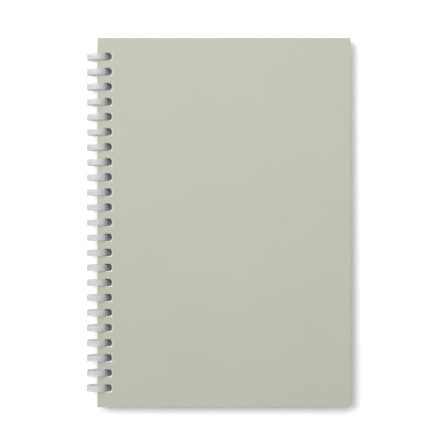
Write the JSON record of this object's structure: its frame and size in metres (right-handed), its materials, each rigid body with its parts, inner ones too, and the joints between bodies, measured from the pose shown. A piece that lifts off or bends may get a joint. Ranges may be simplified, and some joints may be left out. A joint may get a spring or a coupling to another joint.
{
  "type": "ring-bound notebook",
  "caption": "A5 notebook with plain plastic covers and loose leaves, bound on the left by a row of flat soft-plastic rings.",
  "frame": {"origin": "under the middle of the closed notebook, level with the lowest point of the rings", "axes": "+X from the rings to the fore-edge, +Y to the head of the page, +Z out of the front cover"},
  "size_m": [0.1502, 0.21, 0.0122],
  "materials": {
    "cover_sheet": "matte, fine grain",
    "paper_sheet": "uncoated",
    "ring_plastic": "milky, translucent, satin"
  },
  "bodies": {
    "front_cover": {"front_cover": "cover_sheet"},
    "leaf_01": {"leaf_01": "paper_sheet"},
    "leaf_02": {"leaf_02": "paper_sheet"},
    "leaf_03": {"leaf_03": "paper_sheet"},
    "leaf_04": {"leaf_04": "paper_sheet"},
    "leaf_05": {"leaf_05": "paper_sheet"},
    "leaf_06": {"leaf_06": "paper_sheet"},
    "leaf_07": {"leaf_07": "paper_sheet"},
    "leaf_08": {"leaf_08": "paper_sheet"},
    "leaf_09": {"leaf_09": "paper_sheet"},
    "leaf_10": {"leaf_10": "paper_sheet"},
    "leaf_11": {"leaf_11": "paper_sheet"},
    "leaf_12": {"leaf_12": "paper_sheet"},
    "leaf_13": {"leaf_13": "paper_sheet"},
    "leaf_14": {"leaf_14": "paper_sheet"},
    "leaf_15": {"leaf_15": "paper_sheet"},
    "leaf_16": {"leaf_16": "paper_sheet"},
    "leaf_17": {"leaf_17": "paper_sheet"},
    "leaf_18": {"leaf_18": "paper_sheet"},
    "leaf_19": {"leaf_19": "paper_sheet"},
    "leaf_20": {"leaf_20": "paper_sheet"},
    "leaf_21": {"leaf_21": "paper_sheet"},
    "leaf_22": {"leaf_22": "paper_sheet"},
    "leaf_23": {"leaf_23": "paper_sheet"},
    "leaf_24": {"leaf_24": "paper_sheet"},
    "leaf_25": {"leaf_25": "paper_sheet"},
    "leaf_26": {"leaf_26": "paper_sheet"},
    "leaf_27": {"leaf_27": "paper_sheet"},
    "leaf_28": {"leaf_28": "paper_sheet"},
    "leaf_29": {"leaf_29": "paper_sheet"},
    "leaf_30": {"leaf_30": "paper_sheet"},
    "leaf_31": {"leaf_31": "paper_sheet"},
    "leaf_32": {"leaf_32": "paper_sheet"},
    "leaf_33": {"leaf_33": "paper_sheet"},
    "leaf_34": {"leaf_34": "paper_sheet"},
    "leaf_35": {"leaf_35": "paper_sheet"},
    "leaf_36": {"leaf_36": "paper_sheet"},
    "leaf_37": {"leaf_37": "paper_sheet"},
    "leaf_38": {"leaf_38": "paper_sheet"},
    "leaf_39": {"leaf_39": "paper_sheet"},
    "leaf_40": {"leaf_40": "paper_sheet"},
    "leaf_41": {"leaf_41": "paper_sheet"},
    "leaf_42": {"leaf_42": "paper_sheet"},
    "leaf_43": {"leaf_43": "paper_sheet"},
    "leaf_44": {"leaf_44": "paper_sheet"},
    "leaf_45": {"leaf_45": "paper_sheet"},
    "leaf_46": {"leaf_46": "paper_sheet"},
    "leaf_47": {"leaf_47": "paper_sheet"},
    "leaf_48": {"leaf_48": "paper_sheet"},
    "leaf_49": {"leaf_49": "paper_sheet"},
    "leaf_50": {"leaf_50": "paper_sheet"},
    "back_cover": {"back_cover": "cover_sheet"},
    "ring_comb": {"ring_comb": "ring_plastic"}
  },
  "joints": [
    {"name": "front_cover_turn", "type": "hinge", "parent": "leaf_01", "child": "front_cover", "pos_m": [-0.06905, 0, 0.0061], "axis": [0, -1, 0], "range_deg": [0, 180]},
    {"name": "back_cover_turn", "type": "hinge", "parent": "ring_comb", "child": "back_cover", "pos_m": [-0.06905, 0, 0.0061], "axis": [0, -1, 0], "range_deg": [-180, 0]},
    {"name": "leaf_01_turn", "type": "hinge", "parent": "leaf_02", "child": "leaf_01", "pos_m": [-0.06905, 0, 0.0061], "axis": [0, -1, 0], "range_deg": [0, 180]},
    {"name": "leaf_25_turn", "type": "hinge", "parent": "leaf_26", "child": "leaf_25", "pos_m": [-0.06905, 0, 0.0061], "axis": [0, -1, 0], "range_deg": [0, 180]},
    {"name": "leaf_50_turn", "type": "hinge", "parent": "ring_comb", "child": "leaf_50", "pos_m": [-0.06905, 0, 0.0061], "axis": [0, -1, 0], "range_deg": [0, 180]},
    {"name": "leaf_12_turn", "type": "hinge", "parent": "leaf_13", "child": "leaf_12", "pos_m": [-0.06905, 0, 0.0061], "axis": [0, -1, 0], "range_deg": [0, 180]},
    {"name": "leaf_38_turn", "type": "hinge", "parent": "leaf_39", "child": "leaf_38", "pos_m": [-0.06905, 0, 0.0061], "axis": [0, -1, 0], "range_deg": [0, 180]},
    {"name": "leaf_02_turn", "type": "hinge", "parent": "leaf_03", "child": "leaf_02", "pos_m": [-0.06905, 0, 0.0061], "axis": [0, -1, 0], "range_deg": [0, 180]},
    {"name": "leaf_03_turn", "type": "hinge", "parent": "leaf_04", "child": "leaf_03", "pos_m": [-0.06905, 0, 0.0061], "axis": [0, -1, 0], "range_deg": [0, 180]},
    {"name": "leaf_04_turn", "type": "hinge", "parent": "leaf_05", "child": "leaf_04", "pos_m": [-0.06905, 0, 0.0061], "axis": [0, -1, 0], "range_deg": [0, 180]},
    {"name": "leaf_05_turn", "type": "hinge", "parent": "leaf_06", "child": "leaf_05", "pos_m": [-0.06905, 0, 0.0061], "axis": [0, -1, 0], "range_deg": [0, 180]},
    {"name": "leaf_06_turn", "type": "hinge", "parent": "leaf_07", "child": "leaf_06", "pos_m": [-0.06905, 0, 0.0061], "axis": [0, -1, 0], "range_deg": [0, 180]},
    {"name": "leaf_07_turn", "type": "hinge", "parent": "leaf_08", "child": "leaf_07", "pos_m": [-0.06905, 0, 0.0061], "axis": [0, -1, 0], "range_deg": [0, 180]},
    {"name": "leaf_08_turn", "type": "hinge", "parent": "leaf_09", "child": "leaf_08", "pos_m": [-0.06905, 0, 0.0061], "axis": [0, -1, 0], "range_deg": [0, 180]},
    {"name": "leaf_09_turn", "type": "hinge", "parent": "leaf_10", "child": "leaf_09", "pos_m": [-0.06905, 0, 0.0061], "axis": [0, -1, 0], "range_deg": [0, 180]},
    {"name": "leaf_10_turn", "type": "hinge", "parent": "leaf_11", "child": "leaf_10", "pos_m": [-0.06905, 0, 0.0061], "axis": [0, -1, 0], "range_deg": [0, 180]},
    {"name": "leaf_11_turn", "type": "hinge", "parent": "leaf_12", "child": "leaf_11", "pos_m": [-0.06905, 0, 0.0061], "axis": [0, -1, 0], "range_deg": [0, 180]},
    {"name": "leaf_13_turn", "type": "hinge", "parent": "leaf_14", "child": "leaf_13", "pos_m": [-0.06905, 0, 0.0061], "axis": [0, -1, 0], "range_deg": [0, 180]},
    {"name": "leaf_14_turn", "type": "hinge", "parent": "leaf_15", "child": "leaf_14", "pos_m": [-0.06905, 0, 0.0061], "axis": [0, -1, 0], "range_deg": [0, 180]},
    {"name": "leaf_15_turn", "type": "hinge", "parent": "leaf_16", "child": "leaf_15", "pos_m": [-0.06905, 0, 0.0061], "axis": [0, -1, 0], "range_deg": [0, 180]},
    {"name": "leaf_16_turn", "type": "hinge", "parent": "leaf_17", "child": "leaf_16", "pos_m": [-0.06905, 0, 0.0061], "axis": [0, -1, 0], "range_deg": [0, 180]},
    {"name": "leaf_17_turn", "type": "hinge", "parent": "leaf_18", "child": "leaf_17", "pos_m": [-0.06905, 0, 0.0061], "axis": [0, -1, 0], "range_deg": [0, 180]},
    {"name": "leaf_18_turn", "type": "hinge", "parent": "leaf_19", "child": "leaf_18", "pos_m": [-0.06905, 0, 0.0061], "axis": [0, -1, 0], "range_deg": [0, 180]},
    {"name": "leaf_19_turn", "type": "hinge", "parent": "leaf_20", "child": "leaf_19", "pos_m": [-0.06905, 0, 0.0061], "axis": [0, -1, 0], "range_deg": [0, 180]},
    {"name": "leaf_20_turn", "type": "hinge", "parent": "leaf_21", "child": "leaf_20", "pos_m": [-0.06905, 0, 0.0061], "axis": [0, -1, 0], "range_deg": [0, 180]},
    {"name": "leaf_21_turn", "type": "hinge", "parent": "leaf_22", "child": "leaf_21", "pos_m": [-0.06905, 0, 0.0061], "axis": [0, -1, 0], "range_deg": [0, 180]},
    {"name": "leaf_22_turn", "type": "hinge", "parent": "leaf_23", "child": "leaf_22", "pos_m": [-0.06905, 0, 0.0061], "axis": [0, -1, 0], "range_deg": [0, 180]},
    {"name": "leaf_23_turn", "type": "hinge", "parent": "leaf_24", "child": "leaf_23", "pos_m": [-0.06905, 0, 0.0061], "axis": [0, -1, 0], "range_deg": [0, 180]},
    {"name": "leaf_24_turn", "type": "hinge", "parent": "leaf_25", "child": "leaf_24", "pos_m": [-0.06905, 0, 0.0061], "axis": [0, -1, 0], "range_deg": [0, 180]},
    {"name": "leaf_26_turn", "type": "hinge", "parent": "leaf_27", "child": "leaf_26", "pos_m": [-0.06905, 0, 0.0061], "axis": [0, -1, 0], "range_deg": [0, 180]},
    {"name": "leaf_27_turn", "type": "hinge", "parent": "leaf_28", "child": "leaf_27", "pos_m": [-0.06905, 0, 0.0061], "axis": [0, -1, 0], "range_deg": [0, 180]},
    {"name": "leaf_28_turn", "type": "hinge", "parent": "leaf_29", "child": "leaf_28", "pos_m": [-0.06905, 0, 0.0061], "axis": [0, -1, 0], "range_deg": [0, 180]},
    {"name": "leaf_29_turn", "type": "hinge", "parent": "leaf_30", "child": "leaf_29", "pos_m": [-0.06905, 0, 0.0061], "axis": [0, -1, 0], "range_deg": [0, 180]},
    {"name": "leaf_30_turn", "type": "hinge", "parent": "leaf_31", "child": "leaf_30", "pos_m": [-0.06905, 0, 0.0061], "axis": [0, -1, 0], "range_deg": [0, 180]},
    {"name": "leaf_31_turn", "type": "hinge", "parent": "leaf_32", "child": "leaf_31", "pos_m": [-0.06905, 0, 0.0061], "axis": [0, -1, 0], "range_deg": [0, 180]},
    {"name": "leaf_32_turn", "type": "hinge", "parent": "leaf_33", "child": "leaf_32", "pos_m": [-0.06905, 0, 0.0061], "axis": [0, -1, 0], "range_deg": [0, 180]},
    {"name": "leaf_33_turn", "type": "hinge", "parent": "leaf_34", "child": "leaf_33", "pos_m": [-0.06905, 0, 0.0061], "axis": [0, -1, 0], "range_deg": [0, 180]},
    {"name": "leaf_34_turn", "type": "hinge", "parent": "leaf_35", "child": "leaf_34", "pos_m": [-0.06905, 0, 0.0061], "axis": [0, -1, 0], "range_deg": [0, 180]},
    {"name": "leaf_35_turn", "type": "hinge", "parent": "leaf_36", "child": "leaf_35", "pos_m": [-0.06905, 0, 0.0061], "axis": [0, -1, 0], "range_deg": [0, 180]},
    {"name": "leaf_36_turn", "type": "hinge", "parent": "leaf_37", "child": "leaf_36", "pos_m": [-0.06905, 0, 0.0061], "axis": [0, -1, 0], "range_deg": [0, 180]},
    {"name": "leaf_37_turn", "type": "hinge", "parent": "leaf_38", "child": "leaf_37", "pos_m": [-0.06905, 0, 0.0061], "axis": [0, -1, 0], "range_deg": [0, 180]},
    {"name": "leaf_39_turn", "type": "hinge", "parent": "leaf_40", "child": "leaf_39", "pos_m": [-0.06905, 0, 0.0061], "axis": [0, -1, 0], "range_deg": [0, 180]},
    {"name": "leaf_40_turn", "type": "hinge", "parent": "leaf_41", "child": "leaf_40", "pos_m": [-0.06905, 0, 0.0061], "axis": [0, -1, 0], "range_deg": [0, 180]},
    {"name": "leaf_41_turn", "type": "hinge", "parent": "leaf_42", "child": "leaf_41", "pos_m": [-0.06905, 0, 0.0061], "axis": [0, -1, 0], "range_deg": [0, 180]},
    {"name": "leaf_42_turn", "type": "hinge", "parent": "leaf_43", "child": "leaf_42", "pos_m": [-0.06905, 0, 0.0061], "axis": [0, -1, 0], "range_deg": [0, 180]},
    {"name": "leaf_43_turn", "type": "hinge", "parent": "leaf_44", "child": "leaf_43", "pos_m": [-0.06905, 0, 0.0061], "axis": [0, -1, 0], "range_deg": [0, 180]},
    {"name": "leaf_44_turn", "type": "hinge", "parent": "leaf_45", "child": "leaf_44", "pos_m": [-0.06905, 0, 0.0061], "axis": [0, -1, 0], "range_deg": [0, 180]},
    {"name": "leaf_45_turn", "type": "hinge", "parent": "leaf_46", "child": "leaf_45", "pos_m": [-0.06905, 0, 0.0061], "axis": [0, -1, 0], "range_deg": [0, 180]},
    {"name": "leaf_46_turn", "type": "hinge", "parent": "leaf_47", "child": "leaf_46", "pos_m": [-0.06905, 0, 0.0061], "axis": [0, -1, 0], "range_deg": [0, 180]},
    {"name": "leaf_47_turn", "type": "hinge", "parent": "leaf_48", "child": "leaf_47", "pos_m": [-0.06905, 0, 0.0061], "axis": [0, -1, 0], "range_deg": [0, 180]},
    {"name": "leaf_48_turn", "type": "hinge", "parent": "leaf_49", "child": "leaf_48", "pos_m": [-0.06905, 0, 0.0061], "axis": [0, -1, 0], "range_deg": [0, 180]},
    {"name": "leaf_49_turn", "type": "hinge", "parent": "leaf_50", "child": "leaf_49", "pos_m": [-0.06905, 0, 0.0061], "axis": [0, -1, 0], "range_deg": [0, 180]}
  ]
}
